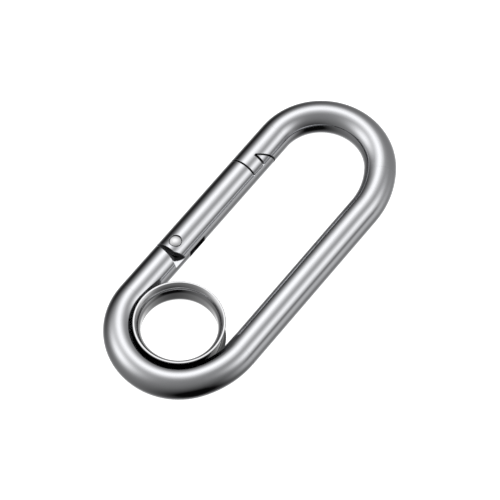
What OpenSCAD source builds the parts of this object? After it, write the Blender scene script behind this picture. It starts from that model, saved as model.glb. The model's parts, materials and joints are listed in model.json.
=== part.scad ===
// Spring snap hook with an eyelet, used as a key carrier.
//
// One round bar is bent into a long link. A gate on a riveted hinge closes the
// opening in one of its legs, and a flared eyelet is pressed into the bend behind
// the hinge. All sizes are in millimetres.
//
// +X runs along the hook from the eyelet to the nose, +Y points to the gate leg,
// and Z is square to the flat plane. The origin is the middle of the hook.

/* [Body] */
// Diameter of the bar
bar_d = 6; // [5.6:0.1:8]
// Overall length
body_l = 70; // [66:1:100]
// Overall width
body_w = 28.4; // [23:0.2:35]
// Centreline radius of the wider bend that runs into the spine leg
spine_bend_r = 15.6; // [14:0.2:17]
// Angle of the tighter bend, counted from the gate leg
end_bend_a = 149; // [145:1:152]

/* [Gate] */
// From the eyelet end of the body to the hinge axis
hinge_from_end = 26.45; // [25:0.25:30]
// From the nose end of the body to the line where gate and nose meet
nose_l = 23.36; // [22.5:0.25:26]
// Gap between the gate and the nose
gate_gap = 0.34; // [0.28:0.02:0.5]
// How far the gate opens, in degrees
gate_open_a = 38; // [20:1:38]

/* [Catch] */
// Thickness of the web that lies in the slot of the nose
web_t = 2.9; // [2:0.1:3.4]
// Gap at each side of the web
web_side_gap = 0.14; // [0.05:0.01:0.2]
// From the meeting line to the square face of the lug behind the web
lug_from_face = 3.09; // [2.4:0.1:3.8]
// Gap at the square face of the lug, wider because the lug swings past it
lug_gap = 0.42; // [0.36:0.02:0.6]
// Depth of the catch below the leg's centreline
catch_drop = 0.42; // [0.2:0.02:0.8]
// Gap at the web's slanting face, on the square
slant_gap = 0.28; // [0.24:0.02:0.5]
// Gap between the top of the web and its seat in the nose
seat_gap = 0.06; // [0.04:0.01:0.12]

/* [Hinge] */
// Thickness of the body's flat tang
tang_t = 1.8; // [1.4:0.1:2]
// Gap at each side of the tang
tang_side_gap = 0.06; // [0.03:0.01:0.1]
// From the hinge axis to the square end of the tang
tang_end = 1.55; // [1.5:0.05:1.9]
// Height of the square end above the hinge axis, before the tang slopes back
tang_corner = 1.5; // [0.5:0.1:2]
// Radius of the circle that the cam on the tang is unwound from
cam_r = 1.2; // [1:0.05:1.4]
// From the hinge axis to the shoulder of the tang, on the leg's centreline
shoulder_from_pin = 2.87; // [2.7:0.05:3.4]
// Slant of the shoulder, in degrees
shoulder_a = 11.4; // [5:0.2:15]
// From the hinge axis to the square end of the gate's ears
ear_end = 1.86; // [1.7:0.02:2.1]
// Where the ears start to slope back, below the leg's centreline
ear_corner = 1.14; // [0.6:0.02:1.6]
// Steepness of that slope, in degrees
ear_a = 56; // [45:1:65]
// Length of the slot on the inner side, from the hinge axis
slot_l = 4.9; // [4:0.1:6]

/* [Rivet] */
// Diameter of the rivet's shank
shank_d = 1.6; // [1.2:0.1:1.8]
// Running clearance between the shank and the tang
shank_clearance = 0.05; // [0.02:0.01:0.08]
// Diameter of the rivet's head
head_d = 2.2; // [2:0.1:2.6]
// Gap round the head in its seat
head_gap = 0.13; // [0.06:0.01:0.18]
// How far the seat of the head lies below the side of the bar
head_depth = 0.95; // [0.8:0.05:1.2]
// Height of the head's dome
head_dome = 0.17; // [0.1:0.01:0.25]

/* [Plunger and spring] */
// Diameter of the bore for the plunger and the spring
bore_d = 2.4; // [2.2:0.05:2.6]
// Running clearance round the plunger
plunger_clearance = 0.05; // [0.03:0.01:0.08]
// Length of the plunger's head
plunger_head_l = 1.3; // [1:0.1:2.5]
// Chamfer on the plunger's face
plunger_chamfer = 0.2; // [0.1:0.05:0.3]
// Length of the plunger's stem, which keeps the spring straight
plunger_stem_l = 2.6; // [1:0.1:3]
// Length of the spring when the gate is shut
spring_l = 8; // [6:0.1:8.5]
// Diameter of the spring wire
wire_d = 0.42; // [0.3:0.02:0.5]
// Number of turns of the spring
spring_turns = 9; // [6:0.5:11]

/* [Eyelet] */
// Wall of the eyelet at its waist
waist_wall = 0.85; // [0.6:0.05:1.2]
// Wall of the eyelet at its rim
rim_wall = 0.5; // [0.35:0.05:0.8]
// How much the bore widens from the waist to the rim, measured on the radius
flare = 1.04; // [0.6:0.02:1.2]
// Slope of the bore at the rim, from the eyelet's axis, in degrees
flare_a = 52; // [45:1:60]
// Radius with which the straight bore turns into the flare
flare_curve_r = 2.7; // [1.5:0.1:2.7]
// Slope of the outside at the rim, from the eyelet's axis, in degrees
back_a = 40; // [35:1:45]
// Radius with which the straight outside turns towards the rim
back_curve_r = 2.5; // [1.5:0.1:2.9]
// Interference with which the waist is pressed into the bend
eyelet_press = 0.05; // [0.02:0.01:0.1]
// Chamfer on the rim's edges
rim_chamfer = 0.1; // [0.05:0.01:0.15]

/* [Hidden] */

$fn = 96;
past = 1;                                      // how far a cut runs past the surface it opens
bar_r = bar_d / 2;
depth = bar_r + past;                          // half width of every plate that shapes the bar

// The centreline: two straight legs, joined at each end by a tight bend, a short straight
// and a wide bend. The radius of the tight bend is what closes the link.
leg_y = body_w / 2 - bar_r;
half_l = body_l / 2 - bar_r;
between_bends = 0.4;
bend_thinning = 0.01;                          // on the radius
bend_run_in = 0.15;
bend_r = (2 * leg_y - between_bends * sin(end_bend_a) - spine_bend_r * (1 + cos(end_bend_a)))
    / (1 - cos(end_bend_a));
bend_x = half_l - bend_r;
bend_y = leg_y - bend_r;
spine_bend_x = bend_x + (bend_r - spine_bend_r) * sin(end_bend_a) + between_bends * cos(end_bend_a);
spine_bend_y = bend_y + (bend_r - spine_bend_r) * cos(end_bend_a) - between_bends * sin(end_bend_a);

// The gate leg: the hinge axis, and the line where gate and nose meet.
pin_x = -body_l / 2 + hinge_from_end;
meet_x = body_l / 2 - nose_l;

// The catch. Its far side slants at 45 degrees, so a gap moves it along X by gap * sqrt(2).
lug_x = meet_x + lug_from_face;

// The hinge, measured from its axis.
slot_w = tang_t + 2 * tang_side_gap;
plunger_travel = cam_r * gate_open_a * PI / 180;
slot_end = tang_end + plunger_travel + 0.3;
cutter_r = 4;                                  // the cutter that lengthens the slot on the inner side
cutter_y = -bar_r - 1.2;
cutter_x = slot_l - sqrt(cutter_r ^ 2 - (cutter_y + bar_r) ^ 2);
cam_a = 64;                                    // angle over which the cam is unwound
cam_step = 4;

// The rivet.
ear_hole_r = shank_d / 2 + 0.02;
dome_r = arc_r(head_d / 2, head_dome);

// The plunger and the spring lie in a bore that meets the cam where it pushes.
plunger_face = tang_end + 0.02;
spring_seat = plunger_face + plunger_head_l;
bore_end = spring_seat + spring_l;
plunger_r = bore_d / 2 - plunger_clearance;
spring_r = bore_d / 2 - 0.08 - wire_d / 2;     // centreline radius of a turn
stem_r = spring_r - wire_d / 2 - 0.1;
wire_sides = 6;
wire_steps = 14;                               // rings in one turn of the spring
closed_pitch = wire_d * 1.06;                  // pitch of the closed turn at each end

// The eyelet.
waist_r = bend_r - bar_r + eyelet_press;
eyelet_r = waist_r - waist_wall;
rim_r = eyelet_r + flare + rim_wall;
curve_steps = 16;                              // steps of each curve in the eyelet's wall

steel = [0.74, 0.75, 0.76];
cut_steel = [0.60, 0.61, 0.63];
spring_steel = [0.45, 0.46, 0.48];

// Radius of the arc that is level where it starts, and has risen by h after a run of w.
function arc_r(w, h) = (w ^ 2 + h ^ 2) / (2 * h);

// Length that a flare takes to widen by rise, when the wall turns to slope a with radius r.
function flare_h(rise, r, a) = (rise - r * (1 - cos(a))) / tan(a) + r * sin(a);

// ---- Bar ----

// A straight stretch of bar along X.
module leg(x0, x1, y) {
    translate([x0, y, 0]) rotate([0, 90, 0]) cylinder(d = bar_d, h = x1 - x0);
}

// A bend about (x, y), from angle a0 to angle a1. Bending draws the bar a hair thinner, and
// the bend runs a little way into the straight stretches at its ends.
module bend(x, y, r, a0, a1) {
    run_in = bend_run_in / r * 180 / PI;
    translate([x, y, 0]) rotate([0, 0, a0 - run_in])
        rotate_extrude(angle = a1 - a0 + 2 * run_in, $fn = 180)
            translate([r, 0]) circle(bar_r - bend_thinning);
}

// The rounded end on the nose side, from the gate leg round to the spine leg.
module rounded_end() {
    bend(bend_x, bend_y, bend_r, 90 - end_bend_a, 90);
    translate([bend_x, bend_y, 0]) rotate([0, 0, -end_bend_a]) leg(0, between_bends, bend_r);
    bend(spine_bend_x, spine_bend_y, spine_bend_r, -90, 90 - end_bend_a);
}

// A plate of thickness t in the flat plane, its outline placed with x = 0 at this x on the gate leg.
module plate(x, t) {
    translate([x, leg_y, -t / 2]) linear_extrude(t) children();
}

module full_plate(x) {
    plate(x, 2 * depth) children();
}

// ---- Catch between the gate and the nose ----

// The catch seen from the side: level along the top, and slanting at its far end.
module catch_outline(top, gap) {
    slant_x = lug_x - gap * sqrt(2) - catch_drop;
    polygon([
        [meet_x - past, top],
        [slant_x - top, top],
        [slant_x + depth, -depth],
        [meet_x - past, -depth]
    ]);
}

// The web is a middle plate of thickness t. From lug_start on, the lug is as thick as the bar.
module catch(t, top, gap, lug_start) {
    length = lug_x - meet_x + 2 * depth;
    intersection() {
        full_plate(0) catch_outline(top, gap);
        union() {
            plate(meet_x - past, t) translate([0, -depth]) square([length, 2 * depth]);
            full_plate(lug_start) translate([0, -depth]) square([length, 2 * depth]);
        }
    }
}

// ---- Hinge: outlines measured from its axis ----

// Everything on the body's side of the slanting shoulder.
module shoulder_outline() {
    far = bend_x + pin_x + past;
    lean = depth * tan(shoulder_a);
    polygon([
        [-far, depth],
        [-shoulder_from_pin + lean, depth],
        [-shoulder_from_pin - lean, -depth],
        [-far, -depth]
    ]);
}

// A point of the cam: an involute, so the plunger moves evenly as the gate turns.
function cam_point(a) =
    let (h = tang_end + cam_r * a * PI / 180)
    [h * cos(a) - cam_r * sin(a), -h * sin(a) - cam_r * cos(a)];

module tang_outline() {
    root = -shoulder_from_pin - 2;
    polygon(concat(
        [[root, depth], [0, depth], [tang_end, tang_corner]],
        [for (a = [0 : cam_step : cam_a]) cam_point(a)],
        [[cam_point(cam_a).x, -depth], [root, -depth]]
    ));
}

// The gate's own outline, from its ears to the meeting line.
module gate_outline() {
    face = meet_x - gate_gap / 2 - pin_x;
    polygon([
        [-ear_end, depth],
        [face, depth],
        [face, -depth],
        [-ear_end + (depth - ear_corner) / tan(ear_a), -depth],
        [-ear_end, -ear_corner]
    ]);
}

// The slot for the tang is open on both sides of the leg, and longer on the inner side.
module tang_slot_outline() {
    translate([-ear_end - past, -depth]) square([slot_end + ear_end + past, 2 * depth]);
    translate([cutter_x, cutter_y]) circle(cutter_r);
}

// A round along X in the bore of the gate, from x0 to x1 beyond the hinge axis.
module in_bore(x0, x1, r0, r1) {
    translate([pin_x + x0, leg_y - cam_r, 0]) rotate([0, 90, 0]) cylinder(r1 = r0, r2 = r1, h = x1 - x0);
}

module at_pin() {
    translate([pin_x, leg_y, 0]) children();
}

// ---- Sub-parts ----

// The leg that carries the hinge: round up to the shoulder, and flat where it enters the gate.
module hinge_leg() {
    difference() {
        intersection() {
            leg(-bend_x, pin_x + tang_end + past, leg_y);
            union() {
                full_plate(pin_x) shoulder_outline();
                plate(pin_x, tang_t) tang_outline();
            }
        }
        at_pin() cylinder(r = shank_d / 2 + shank_clearance, h = 2 * depth, center = true);
    }
}

// The nose, slotted from its inner side for the gate's web and notched for the lug.
module nose() {
    difference() {
        leg(meet_x + gate_gap / 2, bend_x, leg_y);
        catch(web_t + 2 * web_side_gap, -catch_drop, 0, lug_x - lug_gap);
    }
}

module hook_body() {
    color(steel) union() {
        hinge_leg();
        mirror([1, 0, 0]) rounded_end();
        leg(-spine_bend_x, spine_bend_x, -leg_y);
        rounded_end();
        nose();
    }
}

module gate() {
    color(steel) difference() {
        intersection() {
            leg(pin_x - ear_end - past, lug_x + 2 * depth, leg_y);
            union() {
                full_plate(pin_x) gate_outline();
                catch(web_t, -catch_drop - seat_gap, slant_gap, lug_x);
            }
        }
        plate(pin_x, slot_w) tang_slot_outline();
        in_bore(-ear_end - past, bore_end, bore_d / 2, bore_d / 2);
        at_pin() cylinder(r = ear_hole_r, h = 2 * depth, center = true);
        for (side = [0, 1]) mirror([0, 0, side]) at_pin()
            translate([0, 0, bar_r - head_depth]) cylinder(r = head_d / 2 + head_gap, h = depth);
    }
}

module hinge_rivet() {
    color(cut_steel) at_pin() intersection() {
        union() {
            cylinder(d = shank_d, h = bar_d, center = true);
            for (side = [0, 1]) mirror([0, 0, side])
                translate([0, 0, bar_r - head_depth]) cylinder(d = head_d, h = head_depth);
        }
        translate([0, 0, bar_r - dome_r]) sphere(dome_r);
        translate([0, 0, dome_r - bar_r]) sphere(dome_r);
    }
}

module spring_plunger() {
    chamfer_end = plunger_face + plunger_chamfer;
    color(cut_steel) union() {
        in_bore(plunger_face, chamfer_end, plunger_r - plunger_chamfer, plunger_r);
        in_bore(chamfer_end, spring_seat, plunger_r, plunger_r);
        in_bore(spring_seat, spring_seat + plunger_stem_l, stem_r, stem_r);
    }
}

// How far the wire has advanced along the spring after t turns. The end turns lie closed.
function spring_x(t) =
    let (open = (spring_l - wire_d - 2 * closed_pitch) / (spring_turns - 2))
    wire_d / 2 + min(t, 1) * closed_pitch + max(0, min(t, spring_turns - 1) - 1) * open
        + max(0, t - spring_turns + 1) * closed_pitch;

// One ring of points round the wire, after t turns.
function wire_ring(t) =
    [for (i = [0 : wire_sides - 1])
        let (b = 360 * i / wire_sides, r = spring_r + wire_d / 2 * cos(b))
        [spring_x(t) + wire_d / 2 * sin(b), r * cos(360 * t), r * sin(360 * t)]];

module gate_spring() {
    rings = ceil(spring_turns * wire_steps);
    n = wire_sides;
    points = [for (k = [0 : rings]) each wire_ring(spring_turns * k / rings)];
    walls = [for (k = [0 : rings - 1], i = [0 : n - 1])
        let (j = (i + 1) % n) [k * n + i, k * n + j, (k + 1) * n + j, (k + 1) * n + i]];
    first = [for (i = [n - 1 : -1 : 0]) i];
    last = [for (i = [0 : n - 1]) rings * n + i];
    color(spring_steel) translate([pin_x + spring_seat, leg_y - cam_r, 0])
        polyhedron(points, concat([first], walls, [last]));
}

// One side of the eyelet's wall from its middle to the rim, as points [radius, height]: the
// wall is straight at radius r, turns to slope a with radius curve_r, and widens by rise. It
// ends where the rim's chamfer starts, on the slope or, if the curve runs that far, on the curve.
function wall_side(r, curve_r, rise, a) =
    let (
        straight = bar_r - flare_h(rise, curve_r, a),
        up = bar_r - rim_chamfer - straight,
        turn = up < curve_r * sin(a) ? asin(up / curve_r) : a
    ) concat(
        [for (i = [0 : curve_steps])
            let (t = turn * i / curve_steps)
                [r + curve_r * (1 - cos(t)), straight + curve_r * sin(t)]],
        turn < a ? [] : [[r + rise - rim_chamfer * tan(a), bar_r - rim_chamfer]]
    );
function reversed(list) = [for (i = [len(list) - 1 : -1 : 0]) list[i]];
function mirrored(list) = [for (p = list) [p[0], -p[1]]];

module eyelet_profile() {
    bore = concat(wall_side(eyelet_r, flare_curve_r, flare, flare_a),
        [[eyelet_r + flare + rim_chamfer, bar_r]]);
    outside = concat(wall_side(waist_r, back_curve_r, rim_r - waist_r, back_a),
        [[rim_r - rim_chamfer, bar_r]]);
    upper = concat(bore, reversed(outside));
    polygon(concat(upper, reversed(mirrored(upper))));
}

module eyelet() {
    color(cut_steel) translate([-bend_x, bend_y, 0])
        rotate_extrude($fn = 180) eyelet_profile();
}

hook_body();
gate();
hinge_rivet();
spring_plunger();
gate_spring();
eyelet();
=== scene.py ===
# %% [markdown]
# # An oval snap hook in polished steel
#
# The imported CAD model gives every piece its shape, its place and its motion. This lesson
# gives the pieces their looks. It dresses the bar of the hook, models the small round
# pieces more finely than the CAD does, and sets a small product studio round them.

# %% Load the frame
import json
import math

import bpy
import numpy as np
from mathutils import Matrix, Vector


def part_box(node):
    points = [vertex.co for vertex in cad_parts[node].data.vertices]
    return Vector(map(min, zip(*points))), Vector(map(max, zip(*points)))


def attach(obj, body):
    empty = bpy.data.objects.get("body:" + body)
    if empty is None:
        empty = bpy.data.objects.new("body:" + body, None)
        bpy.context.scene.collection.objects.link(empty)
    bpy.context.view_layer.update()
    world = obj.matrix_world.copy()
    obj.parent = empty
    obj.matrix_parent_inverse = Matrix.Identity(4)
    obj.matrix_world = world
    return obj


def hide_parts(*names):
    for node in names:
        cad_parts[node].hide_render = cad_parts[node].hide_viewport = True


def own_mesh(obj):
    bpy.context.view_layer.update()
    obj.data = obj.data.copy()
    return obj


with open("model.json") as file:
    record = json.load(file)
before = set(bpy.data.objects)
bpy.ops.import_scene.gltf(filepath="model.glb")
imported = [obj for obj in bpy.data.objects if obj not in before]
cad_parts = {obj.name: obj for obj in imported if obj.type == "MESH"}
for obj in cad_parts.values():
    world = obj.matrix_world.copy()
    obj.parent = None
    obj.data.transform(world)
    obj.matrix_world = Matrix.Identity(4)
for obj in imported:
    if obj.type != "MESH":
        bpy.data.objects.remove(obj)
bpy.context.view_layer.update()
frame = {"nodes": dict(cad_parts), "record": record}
nodes = frame["nodes"]
MM = 0.001

# %% [markdown]
# ## The measures that the looks depend on
#
# Places come from the boxes of the CAD nodes and from the record's mounts, so the looks
# follow the CAD. The gate's leg is a straight round bar, so half the gate's height is the
# bar's radius. The eyelet sits in the middle of a bend, so its bore gives the bend's centre.

# %% Read the measures off the frame
body_lo, body_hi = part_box("hook_body")
gate_lo, gate_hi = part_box("gate")
rivet_lo, rivet_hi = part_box("hinge_rivet")
plunger_lo, plunger_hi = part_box("spring_plunger")
spring_lo, spring_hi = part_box("gate_spring")
eyelet_lo, eyelet_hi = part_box("eyelet")
mounts = {mount["name"]: mount for mount in frame["record"]["mounts"]}

bar_r = (gate_hi.z - gate_lo.z) / 2
leg_y = gate_hi.y - bar_r
pin = (rivet_lo + rivet_hi) / 2
eyelet_centre = Vector(mounts["eyelet_bore"]["pos_m"])
bore_r = mounts["eyelet_bore"]["dims"]["r_mm"] * MM
bend_r = leg_y - eyelet_centre.y
print("bar radius %.2f mm, bend radius %.2f mm" % (bar_r / MM, bend_r / MM))

# %% [markdown]
# ## Camera
#
# A long lens from far away keeps the two legs of the hook almost parallel. The camera
# stands high on one side and looks down at the hook as it lies flat. Its place is given as
# an azimuth, an elevation and a distance from the point that it looks at.

# %% Make the camera
SENSOR = 36
CAMERA_AZIMUTH = math.radians(-52.6)
CAMERA_ELEVATION = math.radians(61.1)
CAMERA_DISTANCE = 0.681
VIEW_WIDTH = 0.0907


def direction(azimuth, elevation):
    """Unit vector from the object to a viewer, whose azimuth is 0 on the -Y side."""
    return Vector((
        math.sin(azimuth) * math.cos(elevation),
        -math.cos(azimuth) * math.cos(elevation),
        math.sin(elevation),
    ))


def make_camera():
    data = bpy.data.cameras.new("camera")
    data.sensor_width = SENSOR
    data.lens = SENSOR * CAMERA_DISTANCE / VIEW_WIDTH
    data.clip_start, data.clip_end = 0.01, 20
    made = bpy.data.objects.new("camera", data)
    bpy.context.scene.collection.objects.link(made)
    back = direction(CAMERA_AZIMUTH, CAMERA_ELEVATION)
    made.rotation_mode = "QUATERNION"
    turn = (-back).to_track_quat("-Z", "Y")
    made.rotation_quaternion = turn
    right, up = turn @ Vector((1, 0, 0)), turn @ Vector((0, 1, 0))
    target = -0.00061 * right - 0.00025 * up
    made.location = target + CAMERA_DISTANCE * back
    bpy.context.scene.camera = made
    return made


camera = make_camera()
print("lens %.0f mm" % camera.data.lens)

# %% [markdown]
# ## Node helpers
#
# Every material and the world are built from the same few steps: add a node, set its plain
# values, and link what comes from another node. Two helpers keep that short.

# %% Helpers for node trees


def feed(tree, socket, value):
    """Links value to the socket if it is an output, or sets it as the socket's value."""
    if isinstance(value, bpy.types.NodeSocket):
        tree.links.new(value, socket)
    elif value is not None:
        socket.default_value = value


def calc(tree, operation, a, b=None, c=None):
    """One Math node; returns its output."""
    node = tree.nodes.new("ShaderNodeMath")
    node.operation = operation
    for socket, value in zip(node.inputs, (a, b, c)):
        feed(tree, socket, value)
    return node.outputs[0]


def smooth_step(tree, value, low, high):
    """Rises smoothly from 0 at low to 1 at high."""
    node = tree.nodes.new("ShaderNodeMapRange")
    node.interpolation_type = "SMOOTHSTEP"
    feed(tree, node.inputs["Value"], value)
    feed(tree, node.inputs["From Min"], low)
    feed(tree, node.inputs["From Max"], high)
    return node.outputs["Result"]


def choose(tree, test, if_zero, if_one):
    """if_zero where test is 0, if_one where it is 1, and a mix between."""
    node = tree.nodes.new("ShaderNodeMix")
    node.data_type = "FLOAT"
    feed(tree, node.inputs[0], test)
    feed(tree, node.inputs[2], if_zero)
    feed(tree, node.inputs[3], if_one)
    return node.outputs[0]


def new_group(name, inputs, outputs):
    """An empty node group with named sockets; returns it with its two ends."""
    group = bpy.data.node_groups.new(name, "ShaderNodeTree")
    for names, side in ((inputs, "INPUT"), (outputs, "OUTPUT")):
        for socket_name, kind in names.items():
            group.interface.new_socket(socket_name, in_out=side, socket_type="NodeSocket" + kind)
    return group, group.nodes.new("NodeGroupInput"), group.nodes.new("NodeGroupOutput")


def place_group(tree, group, **values):
    """Puts a group into a tree; an underscore in a value's name stands for a space."""
    node = tree.nodes.new("ShaderNodeGroup")
    node.node_tree = group
    for name, value in values.items():
        feed(tree, node.inputs[name.replace("_", " ")], value)
    return node


# %% [markdown]
# ## Studio
#
# Polished steel has hardly any look of its own: it shows the room. A product studio gives
# it a soft grey surround, a few softboxes that draw broad white bands, and black flags that
# draw the dark lines between them. Each lamp here is a soft lobe in the world: strongest
# in its own direction, fading with the angle from it. A flag is a lamp with a negative
# amount. Lamps painted in the world light all views in the same way and cast no hard shadow.
#
# To place a lamp, choose where its band should lie on the steel. The mirror law then says
# where the lamp must stand, so each lamp is given by the normal of the steel at its band.

# %% Build the studio
ROOM_GREY = 0.35
DARKEST = 0.004
LAMPS = [
    # name, normal of the steel where the camera sees it, degrees to half strength, amount
    ("softbox over the top", (0, 0.05, 1), 20, 1.3),
    ("softbox down the side", (0, -0.55, 0.85), 15, 1.1),
    ("softbox beside the bend", (-0.5, 0.2, 0.85), 20, 1.2),
    ("glow behind every silhouette", (0.6, -0.8, 0), 25, 0.9),
    ("glow low on the side", (0, -0.85, 0.5), 20, 0.5),
    ("flag along the gate leg", (0, 0.65, 0.75), 40, -0.35),
    ("narrow flag between the side bands", (0, -0.75, 0.65), 8, -0.3),
    ("flag in front of the near bend", (-0.6, -0.75, 0.3), 50, -0.4),
]


def mirrored(normal):
    """Where the camera looks after bouncing off steel with this normal: the mirror law,
    2 (n . v) n - v, with v from the steel to the camera."""
    n, v = Vector(normal).normalized(), direction(CAMERA_AZIMUTH, CAMERA_ELEVATION)
    return 2 * n.dot(v) * n - v


def lamp_group():
    """Adds amount * exp(sharpness * (cosine of the angle to the lamp - 1)) to the sum."""
    group, start, end = new_group(
        "soft lamp",
        {"Direction": "Vector", "Lamp": "Vector", "Sharpness": "Float",
         "Amount": "Float", "Sum": "Float"},
        {"Sum": "Float"},
    )
    dot = group.nodes.new("ShaderNodeVectorMath")
    dot.operation = "DOT_PRODUCT"
    feed(group, dot.inputs[0], start.outputs["Direction"])
    feed(group, dot.inputs[1], start.outputs["Lamp"])
    fall = calc(group, "MULTIPLY", calc(group, "SUBTRACT", dot.outputs["Value"], 1.0),
                start.outputs["Sharpness"])
    lobe = calc(group, "MULTIPLY", calc(group, "EXPONENT", fall), start.outputs["Amount"])
    feed(group, end.inputs["Sum"], calc(group, "ADD", start.outputs["Sum"], lobe))
    return group


def build_studio():
    world = bpy.data.worlds.new("studio")
    bpy.context.scene.world = world
    world.use_nodes = True
    tree = world.node_tree
    tree.nodes.clear()
    looking = tree.nodes.new("ShaderNodeTexCoord").outputs["Generated"]
    group = lamp_group()
    total = ROOM_GREY
    for name, normal, half_angle, amount in LAMPS:
        sharpness = math.log(2) / (1 - math.cos(math.radians(half_angle)))
        lamp = place_group(tree, group, Direction=looking, Lamp=mirrored(normal),
                           Sharpness=sharpness, Amount=amount, Sum=total)
        lamp.label = name
        total = lamp.outputs["Sum"]
    # The camera sees plain white behind the object; only reflections see the lamps.
    seen = tree.nodes.new("ShaderNodeLightPath").outputs["Is Camera Ray"]
    background = tree.nodes.new("ShaderNodeBackground")
    background.inputs["Color"].default_value = (1, 1, 1, 1)
    feed(tree, background.inputs["Strength"], choose(tree, seen, calc(tree, "MAXIMUM", total, DARKEST), 1.0))
    out = tree.nodes.new("ShaderNodeOutputWorld")
    feed(tree, out.inputs["Surface"], background.outputs[0])


build_studio()
bpy.context.scene.view_settings.view_transform = "Standard"
print("studio with", len(LAMPS), "lamps and flags")

# %% [markdown]
# The hook lies on a plain pale floor. A white floor would fill the underside of the steel
# with a flat white, so the floor is hidden from reflections, and the lamps stand in for it.

# %% Lay the floor
FLOOR_REACH = 1.5


def make_floor():
    r, z = FLOOR_REACH, body_lo.z
    mesh = bpy.data.meshes.new("floor")
    mesh.from_pydata([(-r, -r, z), (r, -r, z), (r, r, z), (-r, r, z)], [], [(0, 1, 2, 3)])
    made = bpy.data.objects.new("floor", mesh)
    bpy.context.scene.collection.objects.link(made)
    made.visible_glossy = False
    made.visible_shadow = False
    paint = bpy.data.materials.new("pale_floor")
    paint.use_nodes = True
    shader = paint.node_tree.nodes["Principled BSDF"]
    shader.inputs["Base Color"].default_value = (0.9, 0.9, 0.9, 1)
    shader.inputs["Roughness"].default_value = 0.9
    shader.inputs["Emission Color"].default_value = (1, 1, 1, 1)
    shader.inputs["Emission Strength"].default_value = 1.0
    mesh.materials.append(paint)
    return made


floor = make_floor()

# %% [markdown]
# ## Shared finishes
#
# All the pieces are steel, but each was finished in another way. Two effects appear on
# several of them, so each is a node group. "fine lines" is what a polishing belt or a lathe
# tool leaves: thin lines that change the roughness a little and stand up a hair. "handling"
# is the faint cloudiness of metal that has been held, in broad soft patches.

# %% Make the groups for lines and handling marks


def lines_group():
    """Noise on a coordinate that is already stretched along the lines."""
    group, start, end = new_group(
        "fine lines",
        {"Vector": "Vector", "Scale": "Float", "Roughness": "Float", "Spread": "Float"},
        {"Roughness": "Float", "Height": "Float"},
    )
    noise = group.nodes.new("ShaderNodeTexNoise")
    noise.inputs["Detail"].default_value = 3
    feed(group, noise.inputs["Vector"], start.outputs["Vector"])
    feed(group, noise.inputs["Scale"], start.outputs["Scale"])
    height = noise.outputs["Fac"]
    off_middle = calc(group, "SUBTRACT", height, 0.5)
    spread = calc(group, "MULTIPLY", off_middle, start.outputs["Spread"])
    feed(group, end.inputs["Roughness"], calc(group, "ADD", start.outputs["Roughness"], spread))
    feed(group, end.inputs["Height"], height)
    return group


def handling_group():
    """Broad soft patches where the metal is a little cloudier and a little darker."""
    group, start, end = new_group(
        "handling",
        {"Position": "Vector", "Size": "Float", "Roughness": "Float", "Cloud": "Float", "Color": "Color"},
        {"Roughness": "Float", "Color": "Color"},
    )
    noise = group.nodes.new("ShaderNodeTexNoise")
    noise.inputs["Detail"].default_value = 4
    noise.inputs["Roughness"].default_value = 0.6
    feed(group, noise.inputs["Vector"], start.outputs["Position"])
    feed(group, noise.inputs["Scale"], start.outputs["Size"])
    patch = smooth_step(group, noise.outputs["Fac"], 0.45, 0.72)
    cloud = calc(group, "MULTIPLY", patch, start.outputs["Cloud"])
    feed(group, end.inputs["Roughness"], calc(group, "ADD", start.outputs["Roughness"], cloud))
    shade = calc(group, "SUBTRACT", 1.0, calc(group, "MULTIPLY", cloud, 0.6))
    scale = group.nodes.new("ShaderNodeVectorMath")
    scale.operation = "SCALE"
    feed(group, scale.inputs[0], start.outputs["Color"])
    feed(group, scale.inputs["Scale"], shade)
    feed(group, end.inputs["Color"], scale.outputs[0])
    return group


FINE_LINES = lines_group()
HANDLING = handling_group()


def new_steel(name):
    """A bare metal material; returns it with its tree, its shader and the place in mm."""
    material = bpy.data.materials.new(name)
    material.use_nodes = True
    tree = material.node_tree
    shader = tree.nodes["Principled BSDF"]
    shader.inputs["Metallic"].default_value = 1
    in_mm = tree.nodes.new("ShaderNodeVectorMath")
    in_mm.operation = "SCALE"
    in_mm.inputs["Scale"].default_value = 1 / MM
    feed(tree, in_mm.inputs[0], tree.nodes.new("ShaderNodeTexCoord").outputs["Object"])
    return material, tree, shader, in_mm.outputs[0]


def split(tree, vector):
    node = tree.nodes.new("ShaderNodeSeparateXYZ")
    feed(tree, node.inputs[0], vector)
    return node.outputs


def join(tree, x, y, z):
    node = tree.nodes.new("ShaderNodeCombineXYZ")
    for socket, value in zip(node.inputs, (x, y, z)):
        feed(tree, socket, value)
    return node.outputs[0]


def raise_surface(tree, shader, height, distance, normal=None):
    """Bump that stands up by distance, in metres, where height is 1."""
    bump = tree.nodes.new("ShaderNodeBump")
    bump.inputs["Strength"].default_value = 1
    bump.inputs["Distance"].default_value = distance
    feed(tree, bump.inputs["Height"], height)
    feed(tree, bump.inputs["Normal"], normal)
    feed(tree, shader.inputs["Normal"], bump.outputs[0])


def dress(piece, material):
    piece.data.materials.clear()
    piece.data.materials.append(material)
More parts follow.
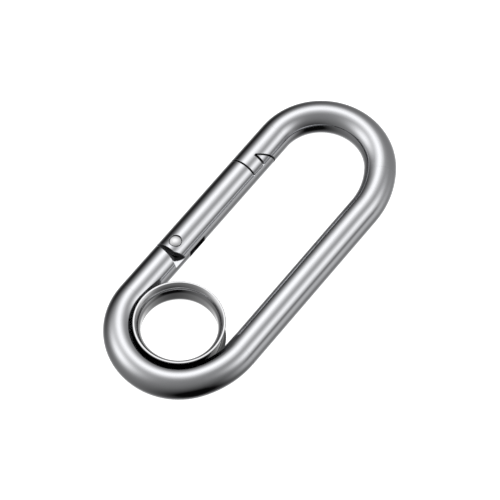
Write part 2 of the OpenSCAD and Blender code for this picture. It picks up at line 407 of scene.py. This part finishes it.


# %% [markdown]
# ## Polished bar
#
# The hook is bent from round bar that was polished along its length, so its lines follow
# the bar round the bends. The cross-section gives a coordinate that does that: how far a
# point lies outside the bar's centreline, and its height. Lines of constant cross-section
# run along the bar. The link is the same at both ends, so |x| serves for both.
#
# The cuts for the hinge and the catch were made with a saw after polishing. A cut face lies
# inside the bar's round surface and looks across the bar or into a slot. Such faces stay dull,
# and their colour is painted near black: painted shade for the shadow in these narrow gaps and
# recesses. The flats of the tang and the web, which face out of the hook's plane, get no painted
# shade. Only the edges of these cuts are broken, with a tiny round.

# %% Make the material of the bar
SPINE_BEND_R = 15.6      # mm, radius of the two wide bends beside the spine
TIGHT_BEND_END = -59     # degrees, where a tight bend hands over to the wide one
BETWEEN_BENDS = 0.4      # mm of straight bar between them
EDGE_ROUND = 0.09        # mm, the broken edge that catches the light
SKIN = (0.05, 0.22)      # mm below the bar's surface, over which a face counts as cut
# Near-black painted shade for the narrow gaps and recesses of the cuts.
CUT_PAINTED_SHADE_COLOR = (0.03, 0.03, 0.032, 1)
CUT_ROUGHNESS = 0.42


def centreline_group():
    """How far, in mm, a point lies outside the bar's centreline in the hook's plane."""
    group, start, end = new_group("along the bar", {"Position": "Vector"},
                                  {"Outside": "Float", "Height": "Float"})
    x, y, z = split(group, start.outputs["Position"])
    side = calc(group, "ABSOLUTE", x)
    turn = math.radians(TIGHT_BEND_END)
    tight_x, tight_y, tight_r = abs(eyelet_centre.x) / MM, eyelet_centre.y / MM, bend_r / MM
    extra = SPINE_BEND_R - tight_r
    wide_x = tight_x - extra * math.cos(turn) + BETWEEN_BENDS * math.sin(turn)
    wide_y = tight_y - extra * math.sin(turn) - BETWEEN_BENDS * math.cos(turn)

    def past_circle(cx, cy, radius):
        from_x, from_y = calc(group, "SUBTRACT", side, cx), calc(group, "SUBTRACT", y, cy)
        squares = calc(group, "ADD", calc(group, "MULTIPLY", from_x, from_x),
                       calc(group, "MULTIPLY", from_y, from_y))
        return calc(group, "SUBTRACT", calc(group, "SQRT", squares), radius)

    leg, spine = calc(group, "SUBTRACT", y, leg_y / MM), calc(group, "SUBTRACT", -leg_y / MM, y)
    tight, wide = past_circle(tight_x, tight_y, tight_r), past_circle(wide_x, wide_y, SPINE_BEND_R)
    above = calc(group, "GREATER_THAN", y, 0.0)
    in_leg = calc(group, "MULTIPLY", above, calc(group, "LESS_THAN", side, tight_x))
    in_spine = calc(group, "MULTIPLY", calc(group, "SUBTRACT", 1.0, above),
                    calc(group, "LESS_THAN", side, wide_x))
    across = calc(group, "ADD",
                  calc(group, "MULTIPLY", calc(group, "SUBTRACT", y, wide_y), math.cos(turn)),
                  calc(group, "MULTIPLY", calc(group, "SUBTRACT", side, wide_x), -math.sin(turn)))
    in_wide = calc(group, "LESS_THAN", across, 0.0)
    outside = choose(group, in_wide, tight, wide)
    outside = choose(group, in_spine, outside, spine)
    feed(group, end.inputs["Outside"], choose(group, in_leg, outside, leg))
    feed(group, end.inputs["Height"], z)
    return group


def make_polished_bar():
    material, tree, shader, place = new_steel("polished_bar")
    bar = place_group(tree, centreline_group(), Position=place)
    outside, height = bar.outputs["Outside"], bar.outputs["Height"]
    x, y, z = split(tree, place)
    along = calc(tree, "MULTIPLY", calc(tree, "ADD", x, y), 0.02)
    lines = place_group(tree, FINE_LINES, Vector=join(tree, outside, height, along),
                        Scale=9.0, Roughness=0.075, Spread=0.05)
    marks = place_group(tree, HANDLING, Position=place, Size=0.12, Cloud=0.05,
                        Roughness=lines.outputs["Roughness"], Color=(0.625, 0.63, 0.65, 1))

    from_axis = calc(tree, "SQRT", calc(tree, "ADD", calc(tree, "MULTIPLY", outside, outside),
                                        calc(tree, "MULTIPLY", height, height)))
    below_skin = calc(tree, "SUBTRACT", bar_r / MM, from_axis)
    inside = smooth_step(tree, below_skin, *SKIN)
    facing = split(tree, tree.nodes.new("ShaderNodeTexCoord").outputs["Normal"])[2]
    outwards = calc(tree, "MULTIPLY", facing, calc(tree, "SIGN", height))
    faces_out_of_plane = smooth_step(tree, outwards, 0.35, 0.85)
    # Painted shade: cut faces below the skin that don't face out of the hook's plane get a near-black colour,
    # for the shadow in the narrow gaps.
    dull_and_painted_shade = calc(tree, "MULTIPLY", inside, calc(tree, "SUBTRACT", 1.0, faces_out_of_plane))

    tint = tree.nodes.new("ShaderNodeMix")
    tint.data_type = "RGBA"
    feed(tree, tint.inputs["Factor"], dull_and_painted_shade)
    feed(tree, tint.inputs[6], marks.outputs["Color"])
    feed(tree, tint.inputs[7], CUT_PAINTED_SHADE_COLOR)
    feed(tree, shader.inputs["Base Color"], tint.outputs[2])
    feed(tree, shader.inputs["Roughness"], choose(tree, dull_and_painted_shade, marks.outputs["Roughness"], CUT_ROUGHNESS))
    broken = tree.nodes.new("ShaderNodeBevel")
    broken.samples = 6
    in_leg = calc(tree, "MULTIPLY", calc(tree, "GREATER_THAN", y, (leg_y - bar_r) / MM),
                  calc(tree, "LESS_THAN", calc(tree, "ABSOLUTE", x), abs(eyelet_centre.x) / MM))
    feed(tree, broken.inputs["Radius"], calc(tree, "MULTIPLY", in_leg, EDGE_ROUND * MM))
    raise_surface(tree, shader, lines.outputs["Height"], 0.0012 * MM, broken.outputs[0])
    return material


polished_bar = make_polished_bar()
for name in ("hook_body", "gate"):
    dress(nodes[name], polished_bar)
print("dressed the bar of the hook and its gate")

# %% [markdown]
# ## Turned and pressed pieces
#
# The rivet, the plunger and the eyelet are round about an axis, and their lines run round
# it. On those lines, the distance from the axis and the height along it stay the same, so
# noise on that pair alone makes rings. A trace of the angle keeps them from being perfect.
# The outer wall of the eyelet, where it sits against the bar, gets painted shade: its colour
# is darkened for the shadow between the two parts.

# %% Make the materials of the round pieces


def make_round_steel(name, color, roughness, spread, axis, centre, ring_scale, cloud, outer_painted_shade=1.0):
    """Steel with lines that run round an axis (0 for X, 2 for Z) through centre, in mm.
    Faces that look away from the axis get painted shade: their colour is scaled by outer_painted_shade."""
    material, tree, shader, place = new_steel(name)
    moved = tree.nodes.new("ShaderNodeVectorMath")
    moved.operation = "SUBTRACT"
    feed(tree, moved.inputs[0], place)
    moved.inputs[1].default_value = centre
    parts = split(tree, moved.outputs[0])
    a, b = (parts[i] for i in range(3) if i != axis)
    radius = calc(tree, "SQRT", calc(tree, "ADD", calc(tree, "MULTIPLY", a, a), calc(tree, "MULTIPLY", b, b)))
    slow = calc(tree, "MULTIPLY", calc(tree, "ADD", a, b), 0.03)
    lines = place_group(tree, FINE_LINES, Vector=join(tree, radius, parts[axis], slow),
                        Scale=ring_scale, Roughness=roughness, Spread=spread)
    marks = place_group(tree, HANDLING, Position=place, Size=0.5, Cloud=cloud,
                        Roughness=lines.outputs["Roughness"], Color=(*color, 1))
    # Painted shade: faces that look away from the axis are darkened by the painted-shade factor, for the shadow
    # where a piece sits against another.
    facing = split(tree, tree.nodes.new("ShaderNodeTexCoord").outputs["Normal"])
    n = [facing[i] for i in range(3) if i != axis]
    away = calc(tree, "ADD", calc(tree, "MULTIPLY", a, n[0]), calc(tree, "MULTIPLY", b, n[1]))
    outer = smooth_step(tree, calc(tree, "DIVIDE", away, radius), 0.25, 0.7)
    shade = tree.nodes.new("ShaderNodeVectorMath")
    shade.operation = "SCALE"
    feed(tree, shade.inputs[0], marks.outputs["Color"])
    feed(tree, shade.inputs["Scale"], choose(tree, outer, 1.0, outer_painted_shade))
    feed(tree, shader.inputs["Base Color"], shade.outputs[0])
    feed(tree, shader.inputs["Roughness"], marks.outputs["Roughness"])
    raise_surface(tree, shader, lines.outputs["Height"], 0.0015 * MM)
    return material


eyelet_mm = tuple(v / MM for v in eyelet_centre)
pin_mm = tuple(v / MM for v in pin)
# The eyelet's wall away from its axis gets painted shade, for the shadow where it sits in the bar.
pressed_steel = make_round_steel("pressed_eyelet", (0.62, 0.62, 0.63), 0.07, 0.05, 2, eyelet_mm, 8.0, 0.05,
                                 outer_painted_shade=0.25)
rivet_steel = make_round_steel("rivet_steel", (0.66, 0.66, 0.67), 0.11, 0.08, 2, pin_mm, 7.0, 0.06)
turned_steel = make_round_steel("turned_steel", (0.5, 0.5, 0.51), 0.2, 0.12, 0,
                                (0, plunger_lo.y / 2 / MM + plunger_hi.y / 2 / MM, 0), 10.0, 0.06)
wire_steel = make_round_steel("spring_wire", (0.42, 0.42, 0.44), 0.24, 0.1, 0,
                              (0, spring_lo.y / 2 / MM + spring_hi.y / 2 / MM, 0), 6.0, 0.08)

# %% [markdown]
# ## Grids to meshes
#
# Each round piece is a grid of points: one direction runs along its profile and the other
# round its axis. The faces of a grid follow from the numbering of its rows, so one function
# turns any grid into a mesh. Where a profile ends on the axis, a single point and a fan of
# triangles close it. The volume of a closed mesh is positive only if its faces point
# outwards, so its sign says whether they must be turned round.

# %% Turn a grid of points into a piece
ROUND = 192


def faces_of_grid(rows, columns, join_rows):
    """Quads between neighbouring rows; columns always join up round the axis."""
    last = rows if join_rows else rows - 1
    row, column = np.meshgrid(np.arange(last), np.arange(columns), indexing="ij")
    below, beside = (row + 1) % rows, (column + 1) % columns
    quads = np.stack([row * columns + column, row * columns + beside,
                      below * columns + beside, below * columns + column], axis=-1)
    return quads.reshape(-1, 4)


def make_piece(name, points, quads, triangles, material):
    """A smooth mesh object at the origin, its faces turned outwards."""
    corners = np.concatenate([quads[:, [0, 1, 2]], quads[:, [0, 2, 3]], triangles])
    a, b, c = (points[corners[:, i]] for i in range(3))
    if np.einsum("ij,ij->", a, np.cross(b, c)) < 0:
        quads, triangles = quads[:, ::-1], triangles[:, ::-1]
    mesh = bpy.data.meshes.new(name)
    mesh.from_pydata(points.tolist(), [], quads.tolist() + triangles.tolist())
    mesh.polygons.foreach_set("use_smooth", np.ones(len(mesh.polygons), dtype=bool))
    mesh.update()
    piece = bpy.data.objects.new(name, mesh)
    bpy.context.scene.collection.objects.link(piece)
    dress(piece, material)
    print("%s: %d faces" % (name, len(mesh.polygons)))
    return piece


def turn_profile(name, profile, centre, axis, material, ring=False):
    """Turns a profile of (radius, height) round an axis through centre. The profile is a
    closed loop for a ring, or else it starts and ends on the axis."""
    if not ring:
        poles, profile = profile[[0, -1]], profile[1:-1]
    angle = np.linspace(0, 2 * np.pi, ROUND, endpoint=False)
    across = {0: ((0, 1, 0), (0, 0, 1)), 2: ((1, 0, 0), (0, 1, 0))}[axis]
    spokes = np.outer(np.cos(angle), across[0]) + np.outer(np.sin(angle), across[1])
    up = np.eye(3)[axis]
    grid = profile[:, None, 0:1] * spokes + profile[:, None, 1:2] * up
    points = grid.reshape(-1, 3)
    triangles = np.empty((0, 3), dtype=int)
    if not ring:
        count, around = len(points), np.arange(ROUND)
        beside = (around + 1) % ROUND
        first = np.stack([np.full(ROUND, count), beside, around], axis=-1)
        base = count - ROUND
        last = np.stack([np.full(ROUND, count + 1), base + around, base + beside], axis=-1)
        points = np.concatenate([points, poles[:, 1:2] * up])
        triangles = np.concatenate([first, last])
    quads = faces_of_grid(len(profile), ROUND, ring)
    return make_piece(name, points + np.array(centre), quads, triangles, material)


def round_corners(profile, radii, steps=6):
    """Replaces each corner with an arc of its radius, given per corner and 0 for none.
    The arc touches both sides at radius * tan(turn / 2) from the corner."""
    out = []
    for i, (corner, radius) in enumerate(zip(profile, radii)):
        if radius <= 0:
            out.append(corner[None])
            continue
        before, after = profile[i - 1] - corner, profile[(i + 1) % len(profile)] - corner
        before, after = before / np.linalg.norm(before), after / np.linalg.norm(after)
        half = np.arccos(np.clip(before @ after, -1, 1)) / 2
        middle = (before + after) / np.linalg.norm(before + after)
        centre = corner + middle * radius / np.sin(half)
        start, stop = corner + before * radius / np.tan(half), corner + after * radius / np.tan(half)
        share = np.linspace(0, 1, steps)[:, None]
        chord = start + (stop - start) * share - centre
        out.append(centre + radius * chord / np.linalg.norm(chord, axis=1, keepdims=True))
    return np.concatenate(out)


# %% [markdown]
# ## Eyelet
#
# The eyelet is a short tube pressed into the bend, with both ends flared to a thin rim. Its
# wall is a profile: straight in the middle, then an arc that turns outwards to the rim. The
# CAD follows the arc with flat steps. Here the arc is fine and the rim is rounded, because
# the curve of the bore is what makes the bright and dark rings inside it.

# %% Make the eyelet
FLARE = 1.04 * MM
FLARE_SLOPE = math.radians(52)
FLARE_CURVE_R = 2.7 * MM
BACK_SLOPE = math.radians(40)
BACK_CURVE_R = 2.5 * MM
WAIST_WALL = 0.85 * MM
RIM_WALL = 0.5 * MM
RIM_ROUND = 0.11 * MM


def wall_curve(radius, curve_r, rise, slope, steps=28):
    """(radius, height) of a wall from its straight middle to the rim: an arc of curve_r
    from upright towards the slope, then straight to the rim."""
    full_out, full_up = curve_r * (1 - math.cos(slope)), curve_r * math.sin(slope)
    start = bar_r - full_up - (rise - full_out) / math.tan(slope)
    # The curve stops short of the rim, so that the rounding of the rim has room.
    highest = min(full_up, bar_r - 2 * RIM_ROUND - start)
    turn = np.linspace(0, math.asin(highest / curve_r), steps)
    arc = np.stack([radius + curve_r * (1 - np.cos(turn)), start + curve_r * np.sin(turn)], axis=-1)
    return np.concatenate([[[radius, start / 2]], arc, [[radius + rise, bar_r]]])


def make_eyelet():
    rim_r = bore_r + FLARE + RIM_WALL
    bore = wall_curve(bore_r, FLARE_CURVE_R, FLARE, FLARE_SLOPE)
    waist_r = bore_r + WAIST_WALL
    back = wall_curve(waist_r, BACK_CURVE_R, rim_r - waist_r, BACK_SLOPE)[::-1]
    upper = np.concatenate([bore, back])
    radii = np.zeros(len(upper))
    radii[len(bore) - 1] = radii[len(bore)] = RIM_ROUND
    lower, lower_radii = upper[::-1] * (1, -1), radii[::-1]
    loop, radii = np.concatenate([upper, lower]), np.concatenate([radii, lower_radii])
    return turn_profile("pressed_eyelet", round_corners(loop, radii), eyelet_centre, 2, pressed_steel, ring=True)


eyelet = make_eyelet()
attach(eyelet, "hook")
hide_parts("eyelet")

# %% [markdown]
# ## Hinge rivet
#
# The rivet is a pin with a head at each end, set in a counterbore with a narrow ring of
# shadow round it. Peening leaves the head slightly domed with a soft edge. The dome is an
# arc whose radius follows from the head's width and height: (w * w + h * h) / (2 * h).

# %% Make the rivet
HEAD_DEPTH = 0.95 * MM
HEAD_DOME = 0.17 * MM
HEAD_EDGE = 0.14 * MM
SHANK_R = 0.8 * MM


def make_rivet():
    head_r, top = (rivet_hi.x - rivet_lo.x) / 2, rivet_hi.z
    dome_r = (head_r ** 2 + HEAD_DOME ** 2) / (2 * HEAD_DOME)
    r = np.append(np.linspace(0, head_r - HEAD_EDGE, 13), head_r)
    dome = np.stack([r, top - dome_r + np.sqrt(dome_r ** 2 - r ** 2)], axis=-1)
    seat = bar_r - HEAD_DEPTH
    upper = np.concatenate([dome, [[head_r, seat], [SHANK_R, seat]]])
    radii = np.zeros(len(upper))
    radii[len(dome) - 1], radii[len(dome)] = HEAD_EDGE, HEAD_EDGE / 3
    loop = np.concatenate([upper, upper[::-1] * (1, -1)])
    profile = round_corners(loop, np.concatenate([radii, radii[::-1]]))
    return turn_profile("rivet", profile, (pin.x, pin.y, 0), 2, rivet_steel)


rivet = make_rivet()
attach(rivet, "gate")
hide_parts("hinge_rivet")

# %% [markdown]
# ## Plunger
#
# The plunger is turned from rod: a head that slides in the gate's bore, with a rounded
# nose that rubs on the cam of the tang, and a thinner stem that keeps the spring in line.

# %% Make the plunger
PLUNGER_HEAD = 1.3 * MM
NOSE_ROUND = 0.3 * MM
STEM_R = 0.6 * MM
STEM_ROUND = 0.12 * MM


def make_plunger():
    x0, x1 = plunger_lo.x, plunger_hi.x
    r = (plunger_hi.y - plunger_lo.y) / 2
    profile = np.array([(0, x0), (r, x0), (r, x0 + PLUNGER_HEAD), (STEM_R, x0 + PLUNGER_HEAD),
                        (STEM_R, x1), (0, x1)])
    radii = (0, NOSE_ROUND, STEM_ROUND, STEM_ROUND / 2, STEM_ROUND, 0)
    centre = (0, (plunger_lo.y + plunger_hi.y) / 2, 0)
    return turn_profile("plunger", round_corners(profile, radii), centre, 0, turned_steel)


plunger = make_plunger()
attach(plunger, "plunger")
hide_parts("spring_plunger")

# %% [markdown]
# ## Return spring
#
# The spring is round wire wound into a coil, with one closed turn at each end to sit flat.
# The wire's middle runs round a circle while it moves along X. At each step a ring of
# points stands square to the wire.

# %% Wind the spring
WIRE_R = 0.21 * MM
TURNS = 9
CLOSED_PITCH = 1.06 * 2 * WIRE_R
STEPS_PER_TURN = 48
WIRE_SIDES = 16


def make_spring():
    """Middle of the wire: (x(t), r cos 2 pi t, r sin 2 pi t), t counting turns, where x
    rises by the closed pitch in the first and last turns and evenly between them."""
    start, end = spring_lo.x + WIRE_R, spring_hi.x - WIRE_R
    coil_r = (spring_hi.y - spring_lo.y) / 2 - WIRE_R
    middle_y = (spring_hi.y + spring_lo.y) / 2
    t = np.linspace(0, TURNS, TURNS * STEPS_PER_TURN + 1)
    x = np.interp(t, (0, 1, TURNS - 1, TURNS), (start, start + CLOSED_PITCH, end - CLOSED_PITCH, end))
    angle = 2 * np.pi * t
    zero = np.zeros_like(angle)
    outward = np.stack([zero, np.cos(angle), np.sin(angle)], axis=-1)
    middle = np.stack([x, zero + middle_y, zero], axis=-1) + coil_r * outward
    along = np.gradient(middle, axis=0)
    along /= np.linalg.norm(along, axis=1, keepdims=True)
    sideways = np.cross(along, outward)
    turn = np.linspace(0, 2 * np.pi, WIRE_SIDES, endpoint=False)[None, :, None]
    ring = np.cos(turn) * outward[:, None] + np.sin(turn) * sideways[:, None]
    points = (middle[:, None] + WIRE_R * ring).reshape(-1, 3)
    count, side = len(points), np.arange(WIRE_SIDES)
    beside, base = (side + 1) % WIRE_SIDES, count - WIRE_SIDES
    caps = np.concatenate([
        np.stack([np.full(WIRE_SIDES, count), beside, side], axis=-1),
        np.stack([np.full(WIRE_SIDES, count + 1), base + side, base + beside], axis=-1),
    ])
    points = np.concatenate([points, middle[[0, -1]]])
    return make_piece("return_spring", points, faces_of_grid(len(t), WIRE_SIDES, False), caps, wire_steel)


spring = make_spring()
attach(spring, "gate")
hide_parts("gate_spring")
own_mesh(spring)
